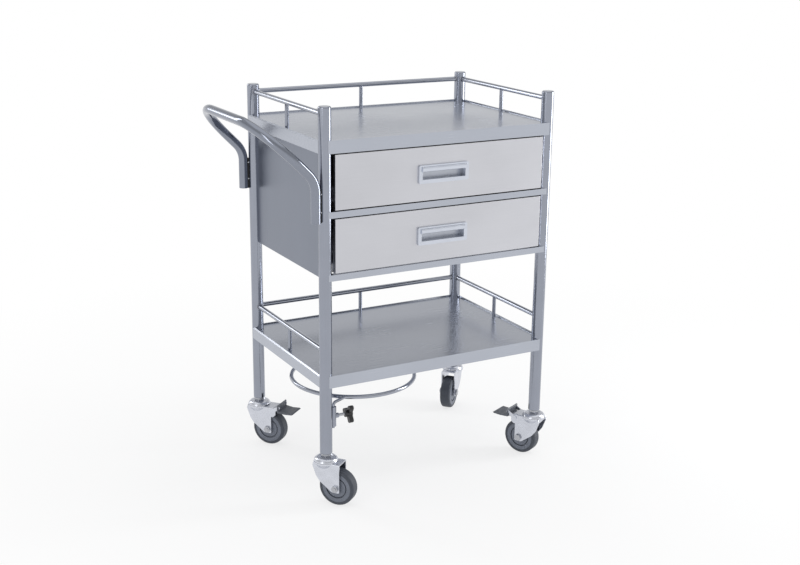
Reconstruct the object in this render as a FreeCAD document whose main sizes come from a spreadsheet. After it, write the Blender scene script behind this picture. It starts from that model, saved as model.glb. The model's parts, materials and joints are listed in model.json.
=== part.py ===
import FreeCAD, Part
import math
import os

import Sketcher

# Medical trolley: a tube frame on four swivel casters, with two tray shelves, guard rails,
# a two-drawer cabinet, a bent push handle and a swing-out bucket ring.
# Millimetres. X runs along the drawer fronts, Y to the back and Z up. The origin is on the
# floor, in the middle of the four posts.

Vector = FreeCAD.Vector
UP = Vector(0, 0, 1)

doc = FreeCAD.newDocument("MedicalTrolley")
sheet = doc.addObject("Spreadsheet::Sheet", "Sizes")

SIZES = {
    # frame
    "post_span_x": 500,
    "post_span_y": 340,
    "post_outer": 25,
    "post_wall": 1.2,
    "post_foot": 105,
    "post_length": 686,
    "post_chamfer": 1,
    "cap_height": 4,
    "cap_round": 3.2,
    "cap_plug": 12,
    "weld_gap": 0.1,
    # shelves
    "shelf_sheet": 1.2,
    "shelf_flange": 25,
    "shelf_rim": 3,
    "shelf_rim_width": 5,
    "shelf_rim_slope": 2.4,
    "top_shelf_drop": 59,
    "lower_shelf_height": 269,
    # guard rails
    "guard_rise": 47.5,
    "guard_outer": 10,
    "guard_wall": 1,
    "guard_support": 8,
    # cabinet
    "bay_height": 110.5,
    "front_rail_height": 12.5,
    "front_rail_depth": 12.5,
    "front_rail_wall": 1.2,
    "panel_sheet": 1,
    "panel_flange": 12,
    # drawers
    "drawer_gap": 2,
    "drawer_side_gap": 3.5,
    "drawer_sheet": 1,
    "front_depth": 16,
    "front_bend": 0.9,
    "box_height": 84,
    "box_back_gap": 24,
    "box_lift": 10,
    "runner_width": 13,
    "runner_height": 26,
    "runner_sheet": 1.2,
    "runner_flange": 9,
    "runner_gap": 0.3,
    "runner_end_gap": 4,
    "runner_lift": 30,
    "slide_short": 10,
    # drawer pulls
    "pull_width": 112,
    "pull_height": 36,
    "pull_proud": 4,
    "pull_border": 6,
    "pull_depth": 13,
    "pull_wall": 1.5,
    "pull_hood": 13,
    "pull_hood_out": 3.5,
    "pull_hood_round": 3.1,
    "pull_lip": 1,
    "pull_slope": 2.5,
    "pull_corner": 3,
    # push handle
    "handle_outer": 19,
    "handle_wall": 1.2,
    "handle_foot_drop": 214,
    "handle_knee_drop": 135,
    "handle_reach": 105,
    "handle_rise": 106,
    "handle_knee_bend": 50,
    "handle_corner_bend": 105,
    "handle_spread": 7,
    "pad_thickness": 1.5,
    "pad_width": 9,
    "pad_height": 63,
    # bucket ring
    "ring_rod": 8.5,
    "ring_radius": 128,
    "ring_height": 210,
    "ring_away_x": 102,
    "ring_away_y": 115,
    "ring_weld_turn": 8,
    "stem_rod": 6,
    "stem_bend": 8,
    "stem_below": 4,
    "socket_outer": 12,
    "socket_drop": 53,
    "socket_height": 41,
    "socket_turn": 14,
    "fit_gap": 0.1,
    "clamp_drop": 32,
    "clamp_collar": 10,
    "clamp_collar_width": 5,
    "clamp_screw": 6,
    "clamp_screw_length": 20,
    "screw_back_off": 2.5,
    "knob_hub": 14,
    "knob_width": 15,
    "knob_neck": 5.25,
    "knob_lobe": 10,
    "knob_lobe_round": 2,
    "knob_reach": 15,
    "knob_turn": 90,
    "screw_in_knob": 9,
    # casters
    "wheel_outer": 75,
    "wheel_width": 24,
    "tyre_depth": 7,
    "tyre_round": 5,
    "hub_boss": 16,
    "hub_groove": 42,
    "hub_groove_width": 2.5,
    "hub_groove_depth": 3,
    "hub_recess": 1.5,
    "hub_step": 0.5,
    "boss_slope": 1,
    "axle": 8,
    "axle_head": 13,
    "axle_head_height": 4,
    "axle_end": 1,
    "trail": 27,
    "fork_sheet": 2.5,
    "fork_inside": 29,
    "fork_top": 89.6,
    "fork_crown": 49,
    "crown_rim": 3.5,
    "crown_flare": 12,
    "crown_flare_in": 6.5,
    "crown_open_from": 6,
    "fork_shoulder_out": 22.5,
    "fork_shoulder_height": 81.5,
    "fork_shin_out": 14.6,
    "fork_shin_height": 60,
    "fork_ankle_out": 6.2,
    "fork_ankle_height": 48.6,
    "fork_leg_foot": 29,
    "fork_foot_front": 10,
    "fork_foot_round": 2,
    "fork_leg_back": 9,
    "fork_race": 28,
    "fork_race_height": 4,
    "cap_outer": 49,
    "cap_base_height": 90,
    "cap_top_height": 98,
    "cap_shell": 2,
    "cap_crest": 28,
    "cap_shoulder": 42.8,
    "cap_shoulder_height": 95.7,
    "cap_dish": 24,
    "cap_dish_depth": 1.5,
    "stem_hex": 19,
    "stem_outer": 12,
    "stem_height": 26,
    "king_pin": 10,
    "king_head": 18,
    "king_head_height": 2.5,
    "swivel_gap": 0.3,
    "sleeve_height": 25,
    # brakes
    "brake_pin": 5,
    "brake_pin_out": 1,
    "brake_pivot_out": 37,
    "brake_pivot_height": 81,
    "brake_hub": 10,
    "brake_ear_out": 46,
    "brake_ear_foot": 68,
    "brake_ear_corner": 5,
    "brake_nose_out": 1.1,
    "brake_nose_drop": 6.6,
    "brake_nose_width": 5,
    "pedal_width": 27,
    "pedal_wing": 42,
    "pedal_sheet": 3,
    "pedal_heel_out": 16,
    "pedal_heel_rise": 18,
    "pedal_reach": 54,
    "pedal_dip": 1,
    "pedal_tip_rise": 3,
}

for row, (alias, number) in enumerate(SIZES.items(), start=1):
    sheet.set("A%d" % row, alias)
    sheet.set("B%d" % row, str(number))
    sheet.setAlias("B%d" % row, alias)
doc.recompute()

# The casters stand as they stopped: the way each wheel trails, in degrees about Z.
TRAILS = {"front_left": -51, "back_left": -50, "front_right": 116, "back_right": 222}
CORNERS = {"front_left": (-1, -1), "back_left": (-1, 1), "front_right": (1, -1), "back_right": (1, 1)}
BRAKED = ("back_left", "front_right")


class Size:
    """A size of the sheet, or one worked out from several: its value and its expression."""

    def __init__(self, value, text):
        self.value = value
        self.text = text

    def __add__(self, other):
        other = as_size(other)
        return Size(self.value + other.value, "(%s + %s)" % (self.text, other.text))

    def __sub__(self, other):
        other = as_size(other)
        return Size(self.value - other.value, "(%s - %s)" % (self.text, other.text))

    def __mul__(self, other):
        other = as_size(other)
        return Size(self.value * other.value, "(%s * %s)" % (self.text, other.text))

    def __truediv__(self, other):
        other = as_size(other)
        return Size(self.value / other.value, "(%s / %s)" % (self.text, other.text))

    def __rsub__(self, other):
        return as_size(other) - self

    def __neg__(self):
        return as_size(0) - self

    __radd__ = __add__
    __rmul__ = __mul__


def as_size(number):
    return number if isinstance(number, Size) else Size(float(number), repr(float(number)))


class Sheet:
    """Reads sizes of the spreadsheet by name."""

    def __getattr__(self, alias):
        return Size(float(sheet.get(alias)), "Sizes." + alias)


s = Sheet()
post_r = s.post_outer / 2
post_bore = post_r - s.post_wall
guard_r = s.guard_outer / 2
wheel_r = s.wheel_outer / 2
front_y = -(s.post_span_y / 2 + post_r)
handle_r = s.handle_outer / 2
post_top = s.post_foot + s.post_length
top_shelf_height = post_top - s.top_shelf_drop
handle_foot = post_top - s.handle_foot_drop
handle_knee = post_top - s.handle_knee_drop
box_depth = s.post_span_y - s.box_back_gap
slide_length = box_depth - s.slide_short
runner_length = s.post_span_y - s.runner_end_gap * 2
socket_foot = s.ring_height - s.socket_drop
clamp_height = s.ring_height - s.clamp_drop
leg_distance = post_r + handle_r + s.pad_thickness
leg_out = Size((leg_distance.value ** 2 - s.handle_spread.value ** 2) ** 0.5,
               "sqrt(%s^2 - %s^2)" % (leg_distance.text, s.handle_spread.text))

sub_parts = []


def bind(obj, **sizes):
    """Sets properties to sizes and binds them to the sheet."""
    for name, size in sizes.items():
        size = as_size(size)
        setattr(obj, name, size.value)
        obj.setExpression(name, size.text)
    return obj


def move(obj, x=0, y=0, z=0, rotation=FreeCAD.Rotation()):
    """Places an object, with its position bound to the sheet."""
    x, y, z = as_size(x), as_size(y), as_size(z)
    obj.Placement = FreeCAD.Placement(Vector(x.value, y.value, z.value), rotation)
    for letter, size in zip("xyz", (x, y, z)):
        obj.setExpression("Placement.Base." + letter, size.text)
    return obj


def sub_part(obj, label, x=0, y=0, z=0, rotation=FreeCAD.Rotation()):
    """Names a finished piece and puts it in the part's frame."""
    obj.Label = label
    sub_parts.append(move(obj, x, y, z, rotation))
    return obj


def turn(angle, axis=UP):
    return FreeCAD.Rotation(axis, angle)


def new_body(name):
    return doc.addObject("PartDesign::Body", name)


def sketch_on(body, role, offset=0):
    """A sketch on one of the body's origin planes, lifted off it by offset."""
    plane = next(f for f in body.Origin.OriginFeatures if f.Role == role)
    sketch = body.newObject("Sketcher::SketchObject", body.Name + "_sketch")
    sketch.AttachmentSupport = [(plane, "")]
    sketch.MapMode = "FlatFace"
    offset = as_size(offset)
    sketch.AttachmentOffset = FreeCAD.Placement(Vector(0, 0, offset.value), FreeCAD.Rotation())
    sketch.setExpression("AttachmentOffset.Base.z", offset.text)
    return sketch


def outline(sketch, points):
    """A closed outline of straight sides, each corner held at its place by two bound distances."""
    points = [(as_size(x), as_size(y)) for x, y in points]
    corners = [Vector(x.value, y.value, 0) for x, y in points]
    first = sketch.GeometryCount
    for i, corner in enumerate(corners):
        sketch.addGeometry(Part.LineSegment(corner, corners[(i + 1) % len(corners)]), False)
    for i, (x, y) in enumerate(points):
        after = first + (i + 1) % len(points)
        sketch.addConstraint(Sketcher.Constraint("Coincident", first + i, 2, after, 1))
        for kind, size in (("DistanceX", x), ("DistanceY", y)):
            index = sketch.addConstraint(
                Sketcher.Constraint(kind, -1, 1, first + i, 1, size.value))
            if "Sizes" in size.text:
                sketch.setExpression("Constraints[%d]" % index, size.text)
    return sketch


def rectangle(sketch, low_x, low_y, high_x, high_y):
    return outline(sketch, [(low_x, low_y), (high_x, low_y), (high_x, high_y), (low_x, high_y)])


def circle(sketch, radius, x=0, y=0):
    x, y, radius = as_size(x), as_size(y), as_size(radius)
    index = sketch.addGeometry(
        Part.Circle(Vector(x.value, y.value, 0), UP, radius.value), False)
    for kind, size in (("DistanceX", x), ("DistanceY", y)):
        held = sketch.addConstraint(Sketcher.Constraint(kind, -1, 1, index, 3, size.value))
        if "Sizes" in size.text:
            sketch.setExpression("Constraints[%d]" % held, size.text)
    held = sketch.addConstraint(Sketcher.Constraint("Radius", index, radius.value))
    sketch.setExpression("Constraints[%d]" % held, radius.text)
    return sketch


def pad(body, sketch, length, symmetric=False, kind="PartDesign::Pad"):
    feature = body.newObject(kind, body.Name + "_" + kind.split("::")[1].lower())
    feature.Profile = sketch
    if symmetric:
        feature.SideType = "Symmetric"
    bind(feature, Length=length)
    doc.recompute()
    return feature


def pocket(body, sketch, length):
    """Cuts a sketch symmetrically to both sides of its plane."""
    before = body.Shape.Volume
    feature = pad(body, sketch, length, True, "PartDesign::Pocket")
    if not body.Shape.Volume < before:
        raise ValueError(body.Name + ": a pocket cut nothing")
    return feature


def revolve(body, sketch):
    feature = body.newObject("PartDesign::Revolution", body.Name + "_revolution")
    feature.Profile = sketch
    feature.ReferenceAxis = (sketch, ["V_Axis"])
    feature.Angle = 360
    doc.recompute()
    return feature


def edge_names(shape, wanted):
    return ["Edge%d" % (i + 1) for i, edge in enumerate(shape.Edges) if wanted(edge)]


def dress(body, kind, wanted, size, prop):
    """Adds a fillet or chamfer to the wanted edges of the body's last feature."""
    base = body.Tip
    names = edge_names(base.Shape, wanted)
    if not names:
        raise ValueError(body.Name + ": no edge to dress")
    feature = body.newObject(kind, body.Name + "_" + kind.split("::")[1].lower())
    feature.Base = (base, names)
    bind(feature, **{prop: size})
    doc.recompute()
    return feature


def fillet(body, wanted, radius):
    return dress(body, "PartDesign::Fillet", wanted, radius, "Radius")


def chamfer(body, wanted, size):
    return dress(body, "PartDesign::Chamfer", wanted, size, "Size")


def flat_at(height, low_radius=0):
    """Tells round edges that lie level at a height and are at least low_radius in radius."""
    def wanted(edge):
        box = edge.BoundBox
        round_edge = isinstance(edge.Curve, Part.Circle) and edge.Curve.Radius > low_radius
        return round_edge and box.ZLength < 0.01 and abs(box.ZMin - as_size(height).value) < 0.01
    return wanted


def along(axis, low_length=0):
    """Tells straight edges along X, Y or Z that are longer than low_length."""
    def wanted(edge):
        if not isinstance(edge.Curve, (Part.Line, Part.LineSegment)):
            return False
        run = edge.Vertexes[-1].Point - edge.Vertexes[0].Point
        return abs(run[axis]) > max(low_length, run.Length * 0.999)
    return wanted


def cylinder(name, radius, height, x=0, y=0, z=0, rotation=FreeCAD.Rotation()):
    obj = bind(doc.addObject("Part::Cylinder", name), Radius=radius, Height=height)
    return move(obj, x, y, z, rotation)


def box(name, length, width, height, x=0, y=0, z=0):
    obj = bind(doc.addObject("Part::Box", name), Length=length, Width=width, Height=height)
    return move(obj, x, y, z)


def cut(name, base, tool):
    obj = doc.addObject("Part::Cut", name)
    obj.Base, obj.Tool = base, tool
    return obj


def fuse(name, shapes):
    obj = doc.addObject("Part::MultiFuse", name)
    obj.Shapes = shapes
    return obj


def group(name, shapes):
    """Several separate solids as one sub-part."""
    obj = doc.addObject("Part::Compound", name)
    obj.Links = shapes
    return obj


def at_posts(make, name):
    """One copy of a piece at each post, as one sub-part; make places a copy at x and y."""
    copies = [make("%s_%s" % (name, corner), s.post_span_x * (sx / 2), s.post_span_y * (sy / 2))
              for corner, (sx, sy) in CORNERS.items()]
    return group(name + "_group", copies)


def post_cutter(gap):
    """The four posts' outside, grown by a gap, to cope what meets them."""
    return at_posts(
        lambda name, x, y: cylinder(name, post_r + gap, post_top, x, y),
        "cope")


def make_post(corner, sx, sy):
    body = new_body("post_" + corner)
    ring = circle(circle(sketch_on(body, "XY_Plane"), post_r), post_bore)
    pad(body, ring, s.post_length)
    chamfer(body, flat_at(0, post_r.value - 0.1), s.post_chamfer)
    sub_part(body, "post_" + corner, s.post_span_x * (sx / 2), s.post_span_y * (sy / 2), s.post_foot)


def make_post_caps():
    def cap(name, x, y):
        body = new_body(name)
        pad(body, circle(sketch_on(body, "XY_Plane"), post_r), s.cap_height)
        plug = pad(body, circle(sketch_on(body, "XY_Plane"), post_bore - s.weld_gap), s.cap_plug)
        plug.Reversed = True
        doc.recompute()
        fillet(body, flat_at(s.cap_height), s.cap_round)
        return move(body, x, y, post_top)
    sub_part(at_posts(cap, "post_cap"), "post_caps")


def support_places():
    """Where the guard rails' supports stand: the middle of the back and of each side."""
    return {"back": (as_size(0), s.post_span_y / 2), "left": (-s.post_span_x / 2, as_size(0)),
            "right": (s.post_span_x / 2, as_size(0))}


def make_shelf(label, height, posts):
    """A tray with a downward flange and a raised rim, notched round the posts."""
    half_x = s.post_span_x / 2 + post_r
    half_y = s.post_span_y / 2 + post_r
    depth = s.shelf_flange - s.shelf_rim
    body = new_body(label + "_tray")
    rectangle(sketch := sketch_on(body, "XY_Plane", -s.shelf_rim - depth), -half_x, -half_y, half_x, half_y)
    pad(body, sketch, depth)
    inner_x, inner_y = half_x - s.shelf_sheet, half_y - s.shelf_sheet
    hollow = sketch_on(body, "XY_Plane", -s.shelf_rim - depth)
    rectangle(hollow, -inner_x, -inner_y, inner_x, inner_y)
    pocket(body, hollow, (depth - s.shelf_sheet) * 2)
    rim = sketch_on(body, "XY_Plane", -s.shelf_rim)
    rectangle(rim, -half_x, -half_y, half_x, half_y)
    lip_x, lip_y = half_x - s.shelf_rim_width, half_y - s.shelf_rim_width
    rectangle(rim, -lip_x, -lip_y, lip_x, lip_y)
    pad(body, rim, s.shelf_rim)
    inner_top = lambda e: (abs(e.BoundBox.ZMin) < 0.01 and e.BoundBox.ZLength < 0.01
                           and e.BoundBox.XMax < lip_x.value + 0.01)
    chamfer(body, inner_top, s.shelf_rim_slope)
    corner = post_r * 2
    corners = group(label + "_corners", [
        box("%s_notch_%d" % (label, i), corner, corner, s.shelf_flange * 2,
            s.post_span_x * (sx / 2) - (0 if sx > 0 else corner),
            s.post_span_y * (sy / 2) - (0 if sy > 0 else corner), height - s.shelf_flange * 1.5)
        for i, (sx, sy) in enumerate(CORNERS.values())])
    move(body, 0, 0, height)
    tray = cut(label + "_notched", body, corners)
    holes = group(label + "_holes", [
        cylinder("%s_hole_%s" % (label, name), s.guard_support / 2 + s.weld_gap, s.shelf_flange, x, y,
                 height - s.shelf_flange)
        for name, (x, y) in support_places().items()])
    drilled = cut(label + "_drilled", tray, holes)
    sub_part(cut(label, drilled, posts), label)


def make_guards(level, shelf_height, posts):
    """Rails on the back and both sides, each with a support that passes through the shelf."""
    z = shelf_height + s.guard_rise
    supports = []
    foot = shelf_height - s.shelf_rim - s.shelf_sheet
    across, back = turn(90, Vector(0, 1, 0)), turn(-90, Vector(1, 0, 0))
    rails = {
        "back_rail": (s.post_span_x, -s.post_span_x / 2, s.post_span_y / 2, across),
        "left_rail": (s.post_span_y, -s.post_span_x / 2, -s.post_span_y / 2, back),
        "right_rail": (s.post_span_y, s.post_span_x / 2, -s.post_span_y / 2, back),
    }
    for name, (length, x, y, rotation) in rails.items():
        label = level + "_" + name
        outer = cylinder(label + "_outer", guard_r, length, x, y, z, rotation)
        bore = cylinder(label + "_bore", guard_r - s.guard_wall, length, x, y, z, rotation)
        tube = cut(label + "_tube", outer, bore)
        sub_part(cut(label, tube, posts), label)
        middle_x, middle_y = support_places()[name.split("_")[0]]
        rod = cylinder(label + "_rod", s.guard_support / 2, z - foot, middle_x, middle_y, foot)
        seat = cylinder(label + "_seat", guard_r + s.weld_gap, length, x, y, z, rotation)
        supports.append(cut(label + "_support", rod, seat))
    sub_part(group(level + "_supports", supports), level + "_rail_supports")


def make_panel(label, length, x, y, rotation):
    """A cabinet wall between two posts, with a return flange inwards along its foot."""
    foot = top_shelf_height - s.shelf_flange - s.bay_height * 2 - s.front_rail_height * 2
    top = top_shelf_height - s.shelf_rim - s.shelf_sheet - s.weld_gap
    t = s.panel_sheet
    body = new_body(label)
    sketch = sketch_on(body, "XZ_Plane")
    outline(sketch, [(-t / 2, 0), (s.panel_flange, 0), (s.panel_flange, t), (t / 2, t),
                     (t / 2, top - foot), (-t / 2, top - foot)])
    pad(body, sketch, length - s.post_outer - s.weld_gap * 2, True)
    sub_part(body, label, x, y, foot, rotation)


def make_front_rail(label, top, posts):
    body = new_body(label + "_bar")
    sketch = sketch_on(body, "YZ_Plane")
    w = s.front_rail_wall
    rectangle(sketch, 0, -s.front_rail_height, s.front_rail_depth, 0)
    rectangle(sketch, w, -s.front_rail_height + w, s.front_rail_depth - w, -w)
    pad(body, sketch, s.post_span_x, True)
    move(body, 0, front_y, top)
    sub_part(cut(label, body, posts), label)


def runner_profile(sketch, side, sheet, flange, height):
    """A channel: web on the Z axis, flanges of the given width towards side."""
    half = height / 2
    outline(sketch, [(0, -half), (flange * side, -half), (flange * side, sheet - half),
                     (sheet * side, sheet - half), (sheet * side, half - sheet),
                     (flange * side, half - sheet), (flange * side, half), (0, half)])


def make_fixed_runners(levels):
    runners = []
    for level, height in levels.items():
        for name, side in (("left", -1), ("right", 1)):
            body = new_body("%s_fixed_%s" % (level, name))
            sketch = sketch_on(body, "XZ_Plane")
            runner_profile(sketch, -side, s.runner_sheet, s.runner_flange, s.runner_height)
            pad(body, sketch, runner_length, True)
            x = (s.post_span_x / 2 - post_r - s.weld_gap) * side
            runners.append(move(body, x, 0, height + s.runner_lift))
    sub_part(group("fixed_runners", runners), "cabinet_runners")


def make_drawer(level, foot):
    """One drawer: the box, its folded front, the recessed pull and the two sliding runners."""
    label = level + "_drawer"
    inner = s.post_span_x / 2 - post_r - s.weld_gap - s.runner_width
    t = s.drawer_sheet
    front_half = s.post_span_x / 2 - post_r - s.drawer_side_gap
    front_height = s.bay_height - s.drawer_gap * 2
    front_foot = foot + s.drawer_gap
    box_front = front_y + s.front_depth + s.weld_gap
    pull_x, pull_z = s.pull_width / 2 - s.pull_border, s.pull_height / 2 - s.pull_border

    body = new_body(label + "_box")
    rectangle(plan := sketch_on(body, "XY_Plane"), -inner, box_front, inner, box_front + box_depth)
    pad(body, plan, s.box_height)
    cavity = sketch_on(body, "XY_Plane", s.box_height)
    rectangle(cavity, t - inner, box_front + t, inner - t, box_front + box_depth - t)
    pocket(body, cavity, (s.box_height - t) * 2)
    sub_part(body, label + "_box", 0, 0, front_foot + s.box_lift)

    body = new_body(label + "_front")
    rectangle(face := sketch_on(body, "XZ_Plane", -front_y), -front_half, 0, front_half, front_height)
    pan = pad(body, face, s.front_depth)
    pan.Reversed = True
    doc.recompute()
    inside = sketch_on(body, "XZ_Plane", -front_y - s.front_depth)
    rectangle(inside, t - front_half, t, front_half - t, front_height - t)
    pocket(body, inside, (s.front_depth - t) * 2)
    window = sketch_on(body, "XZ_Plane", -front_y)
    middle = front_height / 2
    rectangle(window, -pull_x, middle - pull_z, pull_x, middle + pull_z)
    pocket(body, window, t * 3)
    face_rim = lambda e: (abs(e.BoundBox.YMin - front_y.value) < 0.01 and e.BoundBox.YLength < 0.01
                          and max(e.BoundBox.XLength, e.BoundBox.ZLength) > front_height.value - 0.1)
    fillet(body, face_rim, s.front_bend)
    sub_part(body, label + "_front", 0, 0, front_foot)

    make_pull(label + "_pull", front_foot + middle)

    slides = []
    for name, side in (("left", -1), ("right", 1)):
        slide = new_body("%s_slide_%s" % (label, name))
        sketch = sketch_on(slide, "XZ_Plane", -(box_front + slide_length / 2))
        height = s.runner_height - s.runner_sheet * 2 - s.runner_gap * 2
        width = s.runner_width - s.runner_sheet - s.runner_gap - s.weld_gap
        runner_profile(sketch, side, s.runner_sheet, width, height)
        pad(slide, sketch, slide_length, True)
        slides.append(move(slide, (inner + s.weld_gap) * side, 0, foot + s.runner_lift))
    sub_part(group(label + "_slides", slides), label + "_runners")


def make_pull(label, height):
    """A recessed pull: a rounded bezel with a hooded finger cup behind it."""
    half_x, half_z = s.pull_width / 2, s.pull_height / 2
    cup_x, cup_z = half_x - s.pull_border - s.weld_gap, half_z - s.pull_border - s.weld_gap
    face = front_y - s.weld_gap
    body = new_body(label)
    bezel = sketch_on(body, "XZ_Plane", -face)
    rectangle(bezel, -half_x, -half_z, half_x, half_z)
    pad(body, bezel, s.pull_proud)
    fillet(body, along(1), s.pull_corner)
    cup = sketch_on(body, "XZ_Plane", -face)
    rectangle(cup, -cup_x, -cup_z, cup_x, cup_z)
    behind = pad(body, cup, s.pull_depth)
    behind.Reversed = True
    doc.recompute()
    hood = sketch_on(body, "XZ_Plane", -face + s.pull_proud)
    rectangle(hood, -cup_x, half_z - s.pull_hood, cup_x, half_z - s.pull_corner)
    pad(body, hood, s.pull_hood_out)
    hood_face = (face - s.pull_proud - s.pull_hood_out).value
    fillet(body, lambda e: along(0)(e) and abs(e.BoundBox.YMin - hood_face) < 0.01, s.pull_hood_round)
    w = s.pull_wall
    hollow = sketch_on(body, "YZ_Plane")
    back, mouth = face + s.pull_depth - w, face - s.pull_proud
    under, slope = half_z - s.pull_hood, s.pull_slope
    hood_back = mouth - s.pull_hood_out + w
    outline(hollow, [(back, w - cup_z), (mouth - s.pull_lip, w - cup_z), (mouth - s.pull_lip, under),
                     (hood_back, under), (hood_back, under + s.pull_hood_out / 2),
                     (mouth, cup_z - w * 2), (back - slope, cup_z - w), (back, cup_z - w - slope)])
    pocket(body, hollow, (cup_x - w) * 2)
    sub_part(body, label, 0, 0, height)


def handle_path():
    """The handle's axis: up each leg, out at the knee, round the corner and along the grip."""
    x = -(s.post_span_x / 2 + leg_out).value
    y = (s.post_span_y / 2 + s.handle_spread).value
    foot, knee = handle_foot.value, handle_knee.value
    out = Vector(-s.handle_reach.value, 0, s.handle_rise.value)
    slope = Vector(out).normalize()
    knee_bend, corner_bend = s.handle_knee_bend.value, s.handle_corner_bend.value
    lean = math.acos(slope.dot(UP))
    edges = []
    for side in (-1, 1):
        leg_foot, bend = Vector(x, side * y, foot), Vector(x, side * y, knee)
        back = knee_bend * math.tan(lean / 2)
        start, end = bend - UP * back, bend + slope * back
        centre = start - Vector(knee_bend, 0, 0)
        halfway = centre + (bend - centre).normalize() * knee_bend
        corner = bend + out
        grip = Vector(0, -side, 0)
        before, after = corner - slope * corner_bend, corner + grip * corner_bend
        middle = before + grip * corner_bend
        round_point = middle + (corner - middle).normalize() * corner_bend
        half = [Part.LineSegment(leg_foot, start).toShape(), Part.Arc(start, halfway, end).toShape(),
                Part.LineSegment(end, before).toShape(), Part.Arc(before, round_point, after).toShape()]
        edges.append((half, after))
    (near, near_end), (far, far_end) = edges
    grip_edge = Part.LineSegment(near_end, far_end).toShape()
    return Part.Wire(Part.__sortEdges__(near + [grip_edge] + far)), Vector(x, -y, foot)


def pipe(path, start, direction, radius):
    ring = Part.Wire(Part.makeCircle(radius, start, direction))
    return path.makePipeShell([ring], True, True)


def make_handle():
    path, start = handle_path()
    outer = pipe(path, start, UP, handle_r.value)
    bore = pipe(path, start, UP, (handle_r - s.handle_wall).value)
    handle = doc.addObject("Part::Feature", "push_handle")
    handle.Shape = outer.cut(bore)
    sub_part(handle, "push_handle")


def make_handle_pads():
    """A strip between each post and handle leg, hollowed to both tubes."""
    pads = []
    for name, side in (("front", -1), ("back", 1)):
        post = Vector(-s.post_span_x.value / 2, side * s.post_span_y.value / 2, 0)
        leg = post + Vector(-leg_out.value, side * s.handle_spread.value, 0)
        across = leg - post
        angle = math.degrees(math.atan2(across.y, across.x))
        reach, width, height = across.Length, s.pad_width.value, s.pad_height.value
        strip = Part.makeBox(reach, width, height, Vector(0, -width / 2, 0))
        strip.Placement = FreeCAD.Placement(post + UP * handle_foot.value, turn(angle))
        gap = s.weld_gap.value
        for centre, radius in ((post, post_r.value + gap), (leg, handle_r.value + gap)):
            strip = strip.cut(Part.makeCylinder(radius, height, centre + UP * handle_foot.value))
        pads += strip.Solids
    strips = doc.addObject("Part::Feature", "handle_strips")
    strips.Shape = Part.makeCompound(pads)
    sub_part(strips, "handle_pads")


def socket_place():
    """The bucket ring's pivot, beside the front left post."""
    distance = (post_r + s.socket_outer / 2 + s.weld_gap).value
    angle = math.radians(s.socket_turn.value)
    return Vector(-s.post_span_x.value / 2 + distance * math.cos(angle),
                  -s.post_span_y.value / 2 + distance * math.sin(angle), 0)


def make_ring_socket():
    """A short tube on the post, bored for the ring's stem, with a collar for the clamp screw."""
    place = socket_place()
    along_x = Vector(1, 0, 0)
    body = Part.makeCylinder(s.socket_outer.value / 2, s.socket_height.value,
                             place + UP * socket_foot.value)
    level = place + UP * clamp_height.value
    collar_end = s.socket_outer.value / 2 + s.clamp_collar_width.value
    body = body.fuse(Part.makeCylinder(s.clamp_collar.value / 2, collar_end, level, along_x))
    stem_bore = s.stem_rod.value / 2 + s.fit_gap.value
    body = body.cut(Part.makeCylinder(stem_bore, s.socket_height.value * 2,
                                      place + UP * (socket_foot.value - s.socket_height.value / 2)))
    screw_bore = s.clamp_screw.value / 2 + s.fit_gap.value
    body = body.cut(Part.makeCylinder(screw_bore, collar_end * 2, level, along_x))
    socket = doc.addObject("Part::Feature", "socket")
    socket.Shape = body.removeSplitter()
    sub_part(socket, "ring_socket")


def make_bucket_ring():
    """A round rod ring with a stem that bends down into the socket."""
    place = socket_place()
    centre = place + Vector(s.ring_away_x.value, s.ring_away_y.value, s.ring_height.value)
    radius = s.ring_radius.value
    ring = Part.makeTorus(radius, s.ring_rod.value / 2, centre, UP)
    foot = place + UP * (socket_foot.value - s.stem_below.value)
    knee = place + UP * (socket_foot.value + s.socket_height.value + s.stem_bend.value)
    to_ring = Vector(place.x - centre.x, place.y - centre.y, 0)
    weld = centre + turn(s.ring_weld_turn.value).multVec(to_ring.normalize() * radius)
    slope = (weld - knee).normalize()
    lean = math.acos(slope.dot(UP))
    back = s.stem_bend.value * math.tan(lean / 2)
    start, end = knee - UP * back, knee + slope * back
    level = Vector(slope.x, slope.y, 0).normalize()
    bend_centre = start + level * s.stem_bend.value
    halfway = bend_centre + (knee - bend_centre).normalize() * s.stem_bend.value
    path = Part.Wire([Part.LineSegment(foot, start).toShape(), Part.Arc(start, halfway, end).toShape(),
                      Part.LineSegment(end, weld).toShape()])
    stem = pipe(path, foot, UP, s.stem_rod.value / 2)
    rod = doc.addObject("Part::Feature", "ring_rod")
    rod.Shape = ring.fuse(stem)
    sub_part(rod, "bucket_ring")


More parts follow.
